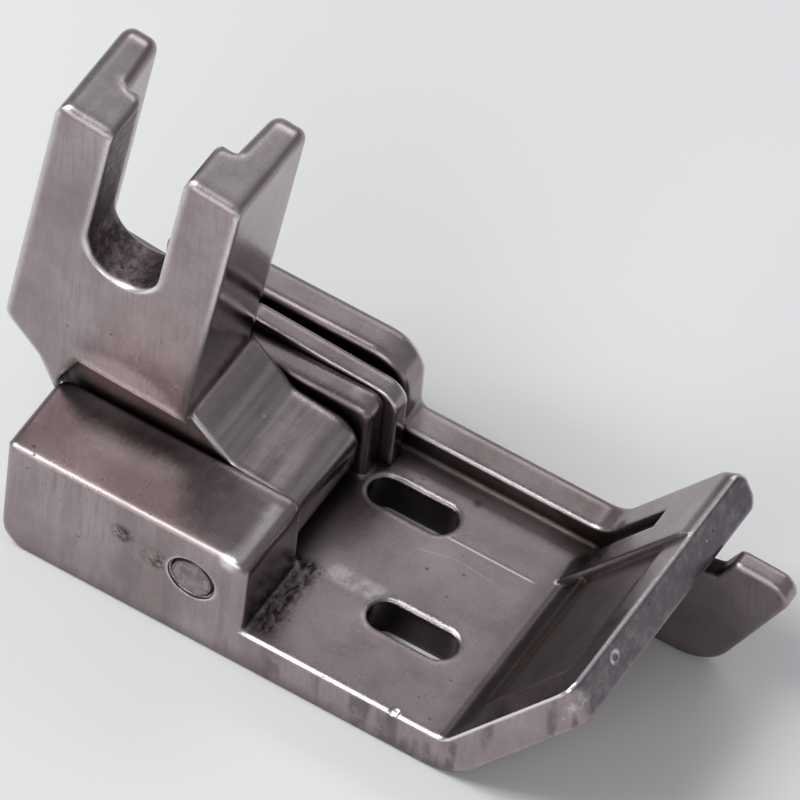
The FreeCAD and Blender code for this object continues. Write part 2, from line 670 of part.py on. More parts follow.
def make_hinge_spring():
    """The coil between the floor and the hinge block, behind the pin."""
    return make_coil("hinge_spring", "hinge_coil_x", "(shank_near_y + shank_far_y) / 2",
                     "hinge_coil_radius", "hinge_coil_wire", "hinge_coil_turns", "floor_z", "hinge_coil_top_z")


def make_blade_spring():
    """The coil between the floor and the blade's tail."""
    return make_coil("blade_spring", "blade_coil_x", "blade_coil_y", "blade_coil_radius",
                     "blade_coil_wire", "blade_coil_turns", "floor_z", "blade_tail_low_z")


def main():
    """Build each sub-part in turn and write it under its own name."""
    write_sizes()
    for make in (make_sole, make_shank, make_hinge_pin, make_guide_blade, make_hinge_spring,
                 make_blade_spring):
        made = make()
        checked(made)
        made.Shape.exportStep("parts/%s.step" % made.Label)
        box = made.Shape.BoundBox
        print(made.Label, len(made.Shape.Solids), "%.1f mm3" % made.Shape.Volume,
              "x %.2f..%.2f y %.2f..%.2f z %.2f..%.2f"
              % (box.XMin, box.XMax, box.YMin, box.YMax, box.ZMin, box.ZMax))


main()
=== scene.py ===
import math

import bmesh
import bpy
from bpy.props import FloatProperty, FloatVectorProperty, PointerProperty
from mathutils import Matrix, Vector

bl_info = {
    "name": "Presser Foot Finish",
    "version": (1, 0, 0),
    "blender": (4, 5, 0),
    "location": "View3D > Sidebar > Presser Foot",
    "description": "Worn bare steel for a hinged sewing machine presser foot, with its studio",
    "category": "Object",
}

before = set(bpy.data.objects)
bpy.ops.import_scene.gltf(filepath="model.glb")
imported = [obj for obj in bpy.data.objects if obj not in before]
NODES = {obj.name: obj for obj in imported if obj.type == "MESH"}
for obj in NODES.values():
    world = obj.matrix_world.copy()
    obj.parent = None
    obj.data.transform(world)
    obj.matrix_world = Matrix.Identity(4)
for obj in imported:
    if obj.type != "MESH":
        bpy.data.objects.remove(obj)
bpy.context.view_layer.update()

# Places and bands on the steel are in millimetres, in the frame of the CAD source: X runs from heel
# to toe, Y from the near side to the far side and Z up. A pair is the low and the high end of a band,
# or the two places between which a mask rises or falls. A third number is how softly a band ends.
MM_PER_METRE = 1000.0
BAND_SOFTNESS = 0.1

# The hinge pin: its axis, and distances from it.
PIN_AXIS = (0.0, 0.0, 4.6)
PIN_RIM = (0.92, 1.08)
PIN_HOLE_RING = (1.27, 1.36)

# The sole, apart from its toe. An area is a band along each axis that it names.
NEAR_SIDE = (-7.6, -7.3)
FLOOR_START = (3.0, 3.3)
FLOOR_TOP = (2.6, 2.8)
CHEEK_TOP = (6.9, 7.1)
CHEEK_INNER_SIDE = (-4.0, -3.6)
CHATTER_START = (3.5, 5.0)
NEEDLE_SLOTS_START = (3.1, 3.3)
NEEDLE_SLOTS_END = (13.0, 13.3)
NEEDLE_SLOTS_TOP = (2.3, 2.5)
NEEDLE_SLOTS_SIDES = (-4.2, 4.4)
RAIL_WALL = (5.5, 6.3)
RAIL_TOP = (3.5, 3.75)
RAIL_FOOT = {"y": (5.2, 6.7, 0.1), "z": (2.2, 3.9, 0.1)}
# Painted shadow on the floor along the low rail's foot.
RAIL_FOOT_SHADOW = {"y": (6.0, 6.4, 0.4)}
BEND_SHADE = (12.6, 14.2)
BURNISHED_PATCH = {"x": (4.6, 7.0, 0.8), "y": (-2.6, -2.1, 0.5)}
MILLED_LINE = {"x": (8.4, 12.6, 0.5), "y": (2.53, 2.57, 0.1)}
LINT_STRIP = {"x": (2.9, 3.7, 1.0), "y": (-7.2, -2.6, 0.5)}
LINT_TOP = (3.2, 4.6)
# A painted dark reflection on the near cheek's top, and a painted highlight on its front end.
DARK_REFLECTION_ON_CHEEK = {"x": (0.5, 1.9, 0.45), "y": (-6.7, -4.9, 0.3)}
CHEEK_HIGHLIGHT_START = (1.5, 2.1)

# The toe. A rise is a length up the toe from its bend, and a lift is a height above its underside.
TOE_BEND = (14.92, 0.0, 0.0)
TOE_ANGLE = math.radians(54.75)
PANEL_SIDES = (-5.7, 3.1)
PANEL_LIFT = (1.7, 1.85)
# Painted shade on the panel's sill and on the strip below the panel.
SILL_RISE = (2.9, 3.7)
STRIP_SIDES = (-7.0, 4.8, 0.6)
STRIP_RISE = (2.4, 3.05, 0.9)
# Where edges get no rubbing and no painted edge highlight.
PLAIN_EDGE_SIDES = (-6.0, 3.4)
PLAIN_EDGE_RISE = (2.3, 9.3)
PLAIN_EDGE_LIFT = (2.15, 2.3)
BEVEL_RISE = (9.9, 10.1)
# Painted shade in the blade's slot in the toe and on its wall.
BLADE_SLOT_SIDES = (4.95, 6.05)
BLADE_SLOT_LIFT = (2.0, 2.2)
BLADE_SLOT_WALL = (4.8, 6.3)
BLADE_SLOT_RISE = (1.0, 1.4)

# Single marks. Corners get painted highlights, and a smear has its place, core and reach.
DIMPLE = (20.81, -4.5, 10.32)
# A painted highlight on the toe's near corner.
TOE_HIGHLIGHT_CORNER = (20.75, -7.75, 10.15)
NICK = (11.42, -7.86, 2.5)
BROWN_SPOT = (8.27, 5.04, 2.5)
TONGUE_GLINT = (21.64, 4.6, 8.09)
SMEARS = (((-2.0, -8.0, 4.6), 0.3, 1.0), ((-3.9, -8.0, 5.2), 0.2, 0.9))
SOLE_HIGHLIGHT_CORNERS = ((1.86, -7.8, 7.1), (1.67, 4.06, 7.0), (1.91, 7.2, 7.2))
HINGE_HIGHLIGHT_CORNERS = ((1.12, -2.43, 6.2), (1.95, -2.46, 5.2))

# The shank, measured from the pin's axis: ahead is toeward and square to its lean, and height is up
# along it. The tongue of the guide blade comes last.
SHANK_LEAN = math.radians(6.1)
SCREW_SLOT_MIDDLE = -9.15
SCREW_SLOT_HALF_WIDTH = (2.75, 3.05)
SCREW_SLOT_HEIGHT = (6.5, 20.8)
PRONG_TOPS = (16.2, 16.4)
# A painted highlight in a lens above the recess.
LENS_MIDDLE = (-7.2, 3.9)
LENS_WIDENING = 0.62
LENS_REACH = (1.4, 2.2)
SHANK_NEAR_FACE = (-3.4, -3.3)
RECESS_FACE = (-3.3, -3.1)
RECESS_TOP = (4.2, 4.8)
RECESS_SHADE = (1.6, 4.2)
HINGE_BLOCK_TOP = (4.6, 5.6)
HINGE_BLOCK_START = (-4.0, -3.0)
TONGUE_START = (15.0, 16.0)

# Lengths in metres: how far the shading rounds the edges, how far grime and painted shade reach
# out of a corner, and how high a relief of 1 stands.
SOLE_EDGE = 0.0005
SHANK_EDGE = 0.0007
PIN_EDGE = 0.00012
BLADE_EDGE = 0.0004
CORNER_REACH = 0.0022
STEEL_RELIEF = 0.000012
WIRE_RELIEF = 0.000006

# The studio, in metres. A lamp has its name, place, size and share of the key lamp's power.
FLOOR_HALF_WIDTH = 1.5
FLOOR_PLACE = (0.0, 0.0, -0.00002)
LAMP_TARGET = (0.006, 0.0, 0.008)
LAMPS = (
    ("key_lamp", (-0.20, -0.10, 0.36), (0.20, 0.20), 1.0),
    ("front_lamp", (0.02, -0.38, 0.20), (0.30, 0.12), 0.38),
    ("rim_lamp", (-0.04, 0.32, 0.30), (0.34, 0.10), 0.21),
)
ROOM_COLOUR = (0.92, 0.95, 1.0, 1.0)

# The camera. The columns of the matrix point right, down and ahead in the photo.
CAMERA_PLACE = (0.18594, -0.37336, 0.54366)
PHOTO_AXES = Matrix(((0.85236108, 0.44921072, -0.26775049),
                     (0.51752744, -0.65100527, 0.55529946),
                     (0.07513949, -0.61188388, -0.78737042)))


def colour_property(name, description, default):
    """A colour that the user can change."""
    return FloatVectorProperty(name=name, description=description, default=default, size=3,
                               min=0.0, max=1.0, subtype="COLOR")


class SteelColours(bpy.types.PropertyGroup):
    """Colours and gloss of the bare steel."""
    satin: colour_property("Satin steel", "Ground and worn flats", (0.435, 0.372, 0.380))
    # Also the colour of painted highlights, glints and reflections.
    bright: colour_property("Rubbed edges", "Steel rubbed bright along the edges", (0.92, 0.88, 0.88))
    # Also the colour of painted shade on faces that look toeward.
    dull: colour_property("Tarnish", "Darker blotches on the flats", (0.27, 0.218, 0.22))
    # Also the colour of painted shade in corners, slots, grooves and recesses.
    grime_and_shade: colour_property("Grime", "Old oil and lint in corners and pits", (0.035, 0.024, 0.022))
    # A painted dark reflection on the toe bevel and the hinge block.
    blue: colour_property("Polished bevel", "Cold dark tone of the toe bevel", (0.060, 0.058, 0.076))
    etched: colour_property("Sunk panel", "Matt sunk panel on the toe", (0.22, 0.178, 0.18))
    wire: colour_property("Spring wire", "Drawn steel wire", (0.30, 0.28, 0.27))
    gloss: FloatProperty(name="Roughness", description="Roughness of the satin steel",
                         default=0.27, min=0.0, max=1.0, subtype="FACTOR")


class StudioSizes(bpy.types.PropertyGroup):
    """Floor, light and camera."""
    floor: colour_property("Floor", "Pale plain floor", (0.80, 0.80, 0.80))
    sky: FloatProperty(name="Room light", description="Strength of the even room light",
                       default=0.35, min=0.0)
    key: FloatProperty(name="Key light", description="Power of the large soft lamp",
                       default=1.12, min=0.0, unit="POWER")
    lens: FloatProperty(name="Lens", description="Focal length of the camera in millimetres",
                        default=642.86, min=1.0)


class Signal:
    """A shader value that sums, products and masks can be written with."""

    def __init__(self, finish, socket):
        self.finish = finish
        self.socket = socket

    def math(self, operation, *others, clamp=False):
        """This value and others through one Math node."""
        return self.finish.node("ShaderNodeMath", {"operation": operation, "use_clamp": clamp},
                                dict(enumerate((self, *others))))

    def __add__(self, other):
        return self.math("ADD", other)

    def __sub__(self, other):
        return self.math("SUBTRACT", other)

    def __mul__(self, other):
        return self.math("MULTIPLY", other)

    def __rsub__(self, other):
        return self.finish.node("ShaderNodeMath", {"operation": "SUBTRACT"}, {0: other, 1: self})

    def __neg__(self):
        return self.math("MULTIPLY", -1.0)

    def __abs__(self):
        return self.math("ABSOLUTE")

    __radd__ = __add__
    __rmul__ = __mul__

    def clamped(self):
        """The value kept between 0 and 1."""
        return self.math("ADD", 0.0, clamp=True)

    def step(self, low, high):
        """0 below low, 1 above high and a soft rise between them."""
        return self.finish.node("ShaderNodeMapRange",
                                {"interpolation_type": "SMOOTHSTEP", "clamp": True},
                                {"Value": self, "From Min": low, "From Max": high})

    def below(self, low, high):
        """1 below low, 0 above high and a soft fall between them."""
        return 1 - self.step(low, high)

    def band(self, low, high, soft=BAND_SOFTNESS):
        """1 between low and high, falling off over soft on both sides."""
        return self.step(low - soft, low) * self.below(high, high + soft)


def colour(given):
    """A colour that a socket takes, or a signal as it is."""
    return given if isinstance(given, Signal) else (*given, 1.0)


class Finish:
    """A material under construction and its node tree."""

    def __init__(self, name):
        self.material = bpy.data.materials.new(name)
        self.material.use_nodes = True
        self.tree = self.material.node_tree
        self.tree.nodes.clear()
        self.place = self.node("ShaderNodeTexCoord", {}, {}, out="Object")
        self.place_mm = self.vector("MULTIPLY", self.place, (MM_PER_METRE,) * 3)
        self.facing = self.node("ShaderNodeNewGeometry", {}, {}, out="Normal")

    def node(self, kind, settings, inputs, out=0):
        """A node with its settings, then its sockets, given as values or signals; one output."""
        node = self.tree.nodes.new(kind)
        for key, setting in settings.items():
            setattr(node, key, setting)
        for key, given in inputs.items():
            if isinstance(given, Signal):
                self.tree.links.new(given.socket, node.inputs[key])
            else:
                node.inputs[key].default_value = given
        return Signal(self, node.outputs[out]) if node.outputs else None

    def vector(self, operation, *vectors, out=0):
        """Vectors through one Vector Math node."""
        return self.node("ShaderNodeVectorMath", {"operation": operation},
                         dict(enumerate(vectors)), out=out)

    def axes(self, vector):
        """The three parts of a vector."""
        split = self.node("ShaderNodeSeparateXYZ", {}, {"Vector": vector})
        outputs = split.socket.node.outputs
        return [Signal(self, outputs[index]) for index in range(3)]

    def along(self, vector, direction):
        """How far a vector reaches along a direction."""
        return self.vector("DOT_PRODUCT", vector, direction, out="Value")

    def reach(self, across, up):
        """The length that two lengths at a right angle make."""
        flat = self.node("ShaderNodeCombineXYZ", {}, {"X": across, "Z": up})
        return self.vector("LENGTH", flat, out="Value")

    def spot(self, centre, core, reach):
        """1 within a distance of a place, in millimetres, and 0 beyond another."""
        return self.vector("DISTANCE", self.place_mm, centre, out="Value").below(core, reach)

    def noise(self, scale, detail=3.0, roughness=0.55, stretch=(1.0, 1.0, 1.0),
              shift=(0.0, 0.0, 0.0), turn=(0.0, 0.0, 0.0)):
        """Cloudy noise on the object's own coordinates; scale is in cells per metre."""
        place = self.node("ShaderNodeMapping", {"vector_type": "POINT"},
                          {"Vector": self.place, "Location": shift, "Rotation": turn,
                           "Scale": stretch})
        return self.node("ShaderNodeTexNoise", {},
                         {"Vector": place, "Scale": scale, "Detail": detail,
                          "Roughness": roughness}, out="Fac")

    def pits(self, scale, size, shift=(0.0, 0.0, 0.0)):
        """Sparse round pits: 1 in a pit and 0 elsewhere; size is in cells."""
        place = self.node("ShaderNodeMapping", {"vector_type": "POINT"},
                          {"Vector": self.place, "Location": shift})
        cells = self.node("ShaderNodeTexVoronoi", {"feature": "F1"},
                          {"Vector": place, "Scale": scale, "Randomness": 1.0}, out="Distance")
        return cells.below(size * 0.5, size)

    def hairlines(self, scale, width, shift):
        """Thin curved scratches, along the level lines of a soft noise."""
        level = abs(self.noise(scale, 1.0, 0.5, shift=shift) - 0.5)
        return level.below(width * 0.4, width)

    def mix(self, factor, first, second):
        """Two colours mixed by a factor."""
        return self.node("ShaderNodeMix", {"data_type": "RGBA", "clamp_factor": True},
                         {0: factor, 6: colour(first), 7: colour(second)}, out=2)

    def rounded_edges(self, radius):
        """The normal rounded over the edges, and a mask for rubbed edges with painted highlights: 1
        along convex and concave edges alike.
        """
        soft = self.node("ShaderNodeBevel", {"samples": 8}, {"Radius": radius})
        likeness = self.vector("DOT_PRODUCT", soft, self.facing, out="Value")
        return soft, (1 - likeness).step(0.02, 0.17)

    def hidden(self, distance):
        """1 in tight corners and 0 in the open."""
        open_air = self.node("ShaderNodeAmbientOcclusion", {"samples": 8, "only_local": False},
                             {"Distance": distance}, out="AO")
        return 1 - open_air

    def close(self, base, roughness, bump, bump_depth, soft=None):
        """Join colour, roughness and relief in the steel shader."""
        relief = {"Height": bump, "Strength": 1.0, "Distance": bump_depth}
        if soft is not None:
            relief["Normal"] = soft
        normal = self.node("ShaderNodeBump", {}, relief)
        shader = self.node("ShaderNodeBsdfPrincipled", {},
                           {"Base Color": base, "Metallic": 1.0, "Roughness": roughness,
                            "Normal": normal})
        self.node("ShaderNodeOutputMaterial", {}, {"Surface": shader})
        return self.material


class Surface:
    """The look of a steel piece, to which marks are added one after another."""

    def __init__(self, finish, base, rough):
        self.finish = finish
        self.base = base
        self.rough = rough
        self.depth = 0.0
        self.stain_and_shade = 0.0
        self.plain_edges = 0.0
        self.x, self.y, self.z = finish.axes(finish.place_mm)
        self.across, self.deep, self.up = finish.axes(finish.facing)

    def tint(self, factor, shade):
        """Mix a colour over the base colour."""
        self.base = self.finish.mix(factor, self.base, shade)

    def facing_near(self):
        """1 on faces that look to the near side."""
        return (-self.deep).step(0.8, 0.95)

    def facing_up(self):
        """1 on level faces that look up."""
        return self.up.step(0.9, 0.99)

    def area(self, bands):
        """1 in an area that is given as a band along some axes."""
        return math.prod(getattr(self, axis).band(*band) for axis, band in bands.items())

    def paint_corner_highlights(self, corners, colours):
        """Paint highlights on corners."""
        for corner in corners:
            self.tint(self.finish.spot(corner, 0.10, 0.70) * 0.90, colours.bright)


def grind_and_side_shade(surface, colours, turn, cloud, blotch):
    """Grinding lines on the sides, swirls on the flats, specks, tarnish in blotches, and painted
    shade on faces that look toeward.
    """
    finish = surface.finish
    side = (surface.deep * surface.deep).step(0.55, 0.9)
    flat = (surface.up * surface.up).step(0.55, 0.9)
    toeward = surface.across.step(0.45, 1.0)
    lines = finish.noise(620.0, 6.0, 0.72, stretch=(7.0, 1.0, 0.45), turn=turn)
    swirl = finish.noise(420.0, 4.0, 0.6, stretch=(0.6, 4.5, 1.0), turn=turn)
    wave = finish.noise(150.0, 1.5, 0.4, shift=(0.3, 0.6, 0.2))
    speck = finish.noise(3600.0, 3.0, 0.6)

    surface.tint((cloud - 0.34) * 2.4, colours.satin)
    surface.tint(side * lines.step(0.47, 0.66) * 0.62, colours.dull)
    surface.tint(blotch.step(0.48, 0.80) * 0.42, colours.dull)
    surface.tint(speck.step(0.50, 0.72) * 0.30, colours.dull)
    # Painted shade: faces that look toeward are darker.
    surface.tint(toeward * 0.30, colours.dull)
    surface.rough = surface.rough + (cloud - 0.5) * 0.20 + (lines - 0.5) * 0.12
    surface.rough = surface.rough + (blotch - 0.5) * 0.14 - toeward * 0.08
    surface.depth = lines * side * 1.1 + swirl * flat * 0.16 + blotch * 0.2
    surface.depth = surface.depth + wave * 3.0 + speck * 0.16


def wear_and_painted_light(surface, colours, edge, cloud, blotch):
    """Rubbed edges with painted edge highlights, fine scratches and painted glints, grime and painted
    shade in corners, and pits; the rounded normal.
    """
    finish = surface.finish
    scratch = finish.hairlines(80.0, 0.0022, shift=(0.4, 0.1, 0.3)) * cloud.step(0.57, 0.65)
    pits = finish.pits(760.0, 0.09) * cloud.step(0.5, 0.62)
    glints = finish.pits(620.0, 0.06, shift=(0.5, 0.2, 0.7)) * blotch.step(0.5, 0.6)
    crowded = finish.hidden(CORNER_REACH)
    soft, rubbed_and_lit = finish.rounded_edges(edge)
    rubbed_and_lit = rubbed_and_lit * crowded.below(0.30, 0.48) * (1 - surface.plain_edges)

    # Painted highlights along the edges, painted glints, and real fine scratches.
    surface.tint(rubbed_and_lit * (0.66 + cloud * 0.8) + glints * 0.7 + scratch * 0.06, colours.bright)
    # Grime and painted shade in corners, taken from ambient occlusion.
    surface.tint(crowded.step(0.22, 0.72) * (0.62 + blotch * 0.6), colours.grime_and_shade)
    surface.tint(pits * 0.55, colours.grime_and_shade)
    surface.rough = (surface.rough - rubbed_and_lit * 0.13 + crowded * 0.15 + pits * 0.2).clamped()
    surface.depth = surface.depth - scratch * 0.12 - pits * 0.8
    return soft


def worn_steel(name, colours, marks, edge, turn=(0.0, 0.0, 0.0)):
    """Bare ground steel with the marks of one piece, and wear with painted highlights and shade over
    all of it.
    """
    finish = Finish(name)
    cloud = finish.noise(210.0, 5.0, 0.62)
    blotch = finish.noise(430.0, 4.0, 0.6, shift=(0.013, 0.007, 0.021))
    surface = Surface(finish, colours.dull, colours.gloss)
    grind_and_side_shade(surface, colours, turn, cloud, blotch)
    marks(surface, colours)
    # Real stains, and painted shade, mixed in with the grime colour.
    surface.tint(surface.stain_and_shade, colours.grime_and_shade)
    soft = wear_and_painted_light(surface, colours, edge, cloud, blotch)
    return finish.close(surface.base, surface.rough, surface.depth, STEEL_RELIEF, soft=soft)


def dress(node, material):
    """Give a piece of the frame its material."""
    piece = NODES[node]
    if not piece.material_slots:
        piece.data.materials.append(material)
    for place in piece.material_slots:
        place.material = material


class Toe:
    """Lengths and faces of the leaning toe, measured from its bend."""

    def __init__(self, finish):
        rising = (math.cos(TOE_ANGLE), 0.0, math.sin(TOE_ANGLE))
        normal = (-math.sin(TOE_ANGLE), 0.0, math.cos(TOE_ANGLE))
        place = finish.vector("SUBTRACT", finish.place_mm, TOE_BEND)
        self.rise = finish.along(place, rising)
        self.lift = finish.along(place, normal)
        self.slope = finish.along(finish.facing, normal).step(0.9, 0.97)
        self.tipward = finish.along(finish.facing, rising)


def panel_marks(surface, colours, toe, cloud):
    """The matt sunk panel, painted shade on its sill and on the strip below it, and the part where
    edges get no rubbing and no painted highlight.
    """
    mottle = surface.finish.mix(cloud.step(0.45, 0.95) * 0.5, colours.etched, colours.dull)
    panel = toe.slope * surface.y.band(*PANEL_SIDES) * toe.lift.below(*PANEL_LIFT)
    surface.tint(panel, mottle)
    sill = toe.tipward.step(0.6, 0.9) * toe.rise.band(*SILL_RISE)
    strip = toe.slope * toe.rise.band(*STRIP_RISE) * surface.y.band(*STRIP_SIDES)
    sunk = surface.y.band(*PLAIN_EDGE_SIDES) * toe.rise.band(*PLAIN_EDGE_RISE)
    surface.rough = surface.rough + panel * 0.2 + sill * 0.25
    surface.depth = surface.depth + panel * cloud * 3.0
    # Painted shade on the strip and on the sill.
    surface.stain_and_shade = surface.stain_and_shade + strip * 0.66 + sill * 0.92
    surface.plain_edges = surface.plain_edges + sunk * toe.lift.below(*PLAIN_EDGE_LIFT)


def bevel_marks(surface, colours, toe, patchy):
    """The bevel painted as a dark cold reflection, its dimple with a painted highlight ring, and a
    painted highlight on its near corner.
    """
    finish = surface.finish
    mottle = finish.mix(patchy.step(0.42, 0.70) * 0.55, colours.blue, colours.dull)
    bevel = toe.tipward.step(0.75, 0.95) * toe.rise.step(*BEVEL_RISE)
    # Painted dark cold reflection on the bevel, mottled.
    surface.tint(bevel * 0.97, mottle)
    dimple = finish.spot(DIMPLE, 0.08, 0.42)
    # A painted highlight ring round the dimple.
    rim = finish.spot(DIMPLE, 0.30, 0.44) - finish.spot(DIMPLE, 0.14, 0.26)
    corner = finish.spot(TOE_HIGHLIGHT_CORNER, 0.15, 1.0) * patchy.step(0.42, 0.58)
    surface.tint(rim * 0.5 + corner * 0.40, colours.bright)
    surface.rough = surface.rough - bevel * 0.08 - corner * 0.10
    surface.depth = surface.depth - dimple * 7.0 + bevel * patchy * 2.6


def groove_marks(surface, toe):
    """Painted shade on the walls of the needle slots, of the low rail and of the blade's slot in the
    toe.
    """
    x, y, z = surface.x, surface.y, surface.z
    near = surface.facing_near()
    on_floor = x.step(*FLOOR_START)
    slots = abs(surface.up).below(0.3, 0.6) * z.below(*NEEDLE_SLOTS_TOP)
    slots = slots * y.band(*NEEDLE_SLOTS_SIDES)
    slots = slots * x.step(*NEEDLE_SLOTS_START) * x.below(*NEEDLE_SLOTS_END)
    rail_wall = near * y.band(*RAIL_WALL) * z.below(*RAIL_TOP) * on_floor
    blade_wall = near * y.band(*BLADE_SLOT_WALL) * toe.rise.step(*BLADE_SLOT_RISE)
    blade_slot = toe.slope * y.band(*BLADE_SLOT_SIDES) * toe.lift.below(*BLADE_SLOT_LIFT)
    # Painted shade on these walls and in the slots.
    surface.stain_and_shade = surface.stain_and_shade + slots * 0.8 + rail_wall * 0.85
    surface.stain_and_shade = surface.stain_and_shade + blade_wall * 0.9 + blade_slot * 0.85
    surface.plain_edges = surface.plain_edges + surface.area(RAIL_FOOT) * on_floor * 0.7


def floor_marks(surface, colours, patchy):
    """Burnished patch, milled line, brown spot, lint at the cheek's foot, painted shadow along the
    rail's foot and painted shade before the bend.
    """
    finish, x = surface.finish, surface.x
    floor = surface.facing_up() * surface.z.below(*FLOOR_TOP)
    burnished = floor * surface.area(BURNISHED_PATCH) * patchy.step(0.35, 0.6)
    milled = floor * surface.area(MILLED_LINE)
    surface.tint(burnished * 0.45 + milled * 0.22, colours.bright)
    surface.depth = surface.depth - milled * 0.6

    fibres = finish.noise(2900.0, 4.0, 0.75, stretch=(1.5, 0.8, 1.0)).step(0.34, 0.62)
    lint = fibres * surface.area(LINT_STRIP) * surface.z.below(*LINT_TOP)
    rail_shadow = floor * surface.area(RAIL_FOOT_SHADOW) * x.step(*FLOOR_START)
    bend = floor * x.step(*BEND_SHADE)
    brown = finish.spot(BROWN_SPOT, 0.12, 0.3)
    # Painted shadow at the rail's foot and painted shade before the bend; lint and the brown spot are
    # real stains.
    surface.stain_and_shade = surface.stain_and_shade + lint * 0.86 + rail_shadow * 0.62 + bend * 0.35 + brown * 0.45


def near_side_marks(surface, cloud, patchy):
    """Upright chatter marks, smears beside the pin and the dark ring round it."""
    finish, x = surface.finish, surface.x
    on_near_side = surface.y.below(*NEAR_SIDE)
    near = surface.facing_near() * on_near_side
    comb = finish.noise(1050.0, 1.0, 0.5, stretch=(1.0, 1.0, 0.14)).step(0.50, 0.64)
    chatter = near * comb * (0.35 + x.step(*CHATTER_START) * cloud.step(0.36, 0.56))
    first, second = (finish.spot(*smear) for smear in SMEARS)
    smears = near * patchy.step(0.42, 0.58) * (first + second)
    ring = finish.reach(x, surface.z - PIN_AXIS[2]).below(*PIN_HOLE_RING) * on_near_side
    surface.stain_and_shade = surface.stain_and_shade + chatter * 0.38 + smears * 0.85 + ring * 0.95


def cheek_marks(surface, colours):
    """A painted dark reflection and a painted highlight at the front end of the near cheek's top,
    painted shade on the sole's other level tops, a nick, and painted highlights on the corners.
    """
    up = surface.facing_up()
    top = up * surface.z.step(*CHEEK_TOP) * surface.y.below(*CHEEK_INNER_SIDE)
    cheek_reflection = top * surface.area(DARK_REFLECTION_ON_CHEEK)
    cheek_end_highlight = top * surface.x.step(*CHEEK_HIGHLIGHT_START)
    nick = surface.finish.spot(NICK, 0.12, 0.34)
    # Painted highlight on the cheek top's front end; the nick is real.
    surface.tint(nick * 0.7 + cheek_end_highlight * 0.50, colours.bright)
    surface.paint_corner_highlights(SOLE_HIGHLIGHT_CORNERS, colours)
    surface.depth = surface.depth - nick * 5.0
    # Painted dark reflection on the cheek top, and painted shade on the other level tops.
    surface.stain_and_shade = surface.stain_and_shade + cheek_reflection * 0.30 + up * (1 - cheek_reflection) * 0.16


def sole_marks(surface, colours):
    """What only the sole has."""
    cloud = surface.finish.noise(900.0, 4.0, 0.6, shift=(0.02, 0.03, 0.01))
    patchy = surface.finish.noise(1500.0, 5.0, 0.7, shift=(0.05, 0.01, 0.04))
    toe = Toe(surface.finish)
    panel_marks(surface, colours, toe, cloud)
    bevel_marks(surface, colours, toe, patchy)
    groove_marks(surface, toe)
    floor_marks(surface, colours, patchy)
    near_side_marks(surface, cloud, patchy)
    cheek_marks(surface, colours)


def screw_slot_marks(surface, colours, ahead, height):
    """Painted shade, mottled, on the walls in the open screw slot between the prongs."""
    finish = surface.finish
    mottled = finish.noise(2600.0, 4.0, 0.7)
    walls = abs(ahead - SCREW_SLOT_MIDDLE).below(*SCREW_SLOT_HALF_WIDTH)
    walls = walls * height.band(*SCREW_SLOT_HEIGHT) * abs(surface.deep).below(0.35, 0.6)
    # Painted shade on the screw slot walls.
    surface.tint(walls * 0.72, finish.mix(mottled.step(0.4, 0.65), colours.grime_and_shade, colours.dull))
    surface.rough = surface.rough + walls * 0.2
    surface.depth = surface.depth + walls * mottled * 2.0


def recess_marks(surface, colours, ahead, height):
    """A painted highlight in a lens above the recess at the shank's foot, and painted shade in the
    recess.
    """
    middle_ahead, middle_height = LENS_MIDDLE
    near = surface.facing_near()
    lens = surface.finish.reach((ahead - middle_ahead) * LENS_WIDENING, height - middle_height)
    lens = near * lens.below(*LENS_REACH) * surface.y.below(*SHANK_NEAR_FACE)
    # Painted highlight in the lens.
    surface.tint(lens * 0.36, colours.bright)
    recess = near * surface.y.step(*RECESS_FACE) * height.below(*RECESS_TOP)
    surface.stain_and_shade = surface.stain_and_shade + recess * height.step(*RECESS_SHADE) * 0.55 + recess * 0.1


def hinge_block_marks(surface, colours, ahead, height):
    """Painted reflections in cold and bright bands across the front of the hinge block, and painted
    highlights on its corners.
    """
    bands = surface.finish.noise(900.0, 3.0, 0.6, stretch=(1.0, 0.06, 1.0), turn=(0.0, 0.6, 0.0))
    front = height.below(*HINGE_BLOCK_TOP) * ahead.step(*HINGE_BLOCK_START)
    front = front * abs(surface.deep).below(0.2, 0.5)
    # Painted reflections: bright and cold bands.
    surface.tint(front * bands.step(0.38, 0.74) * 0.26, colours.bright)
    surface.tint(front * bands.below(0.26, 0.56) * 0.20, colours.blue)
    surface.paint_corner_highlights(HINGE_HIGHLIGHT_CORNERS, colours)


def shank_marks(surface, colours):
    """What only the shank has."""
    finish = surface.finish
    place = finish.vector("SUBTRACT", finish.place_mm, PIN_AXIS)
    ahead = finish.along(place, (math.cos(SHANK_LEAN), 0.0, -math.sin(SHANK_LEAN)))
    height = finish.along(place, (math.sin(SHANK_LEAN), 0.0, math.cos(SHANK_LEAN)))
    screw_slot_marks(surface, colours, ahead, height)
    recess_marks(surface, colours, ahead, height)
    # Painted light: the prong tops are lighter.
    tops = height.step(*PRONG_TOPS) * surface.up.step(0.8, 0.95)
    surface.tint(tops * 0.20, colours.bright)
    hinge_block_marks(surface, colours, ahead, height)


def blade_marks(surface, colours):
    """What only the guide blade has: a tongue tarnished brown and painted darker as shade under the
    toe, with one painted glint.
    """
    finish = surface.finish
    cloud = finish.noise(520.0, 5.0, 0.65, stretch=(1.0, 1.0, 0.6))
    tongue = (-surface.deep).step(0.7, 0.95) * surface.x.step(*TONGUE_START)
    # The tongue is tarnished brown and painted darker for the shade under the toe.
    surface.tint(tongue * 0.14, finish.mix(cloud.step(0.3, 0.75), colours.grime_and_shade, colours.dull))
    surface.tint(finish.spot(TONGUE_GLINT, 0.03, 0.16), colours.bright)
    surface.rough = surface.rough + tongue * 0.08
    surface.stain_and_shade = surface.stain_and_shade + tongue * cloud.step(0.5, 0.8) * 0.12


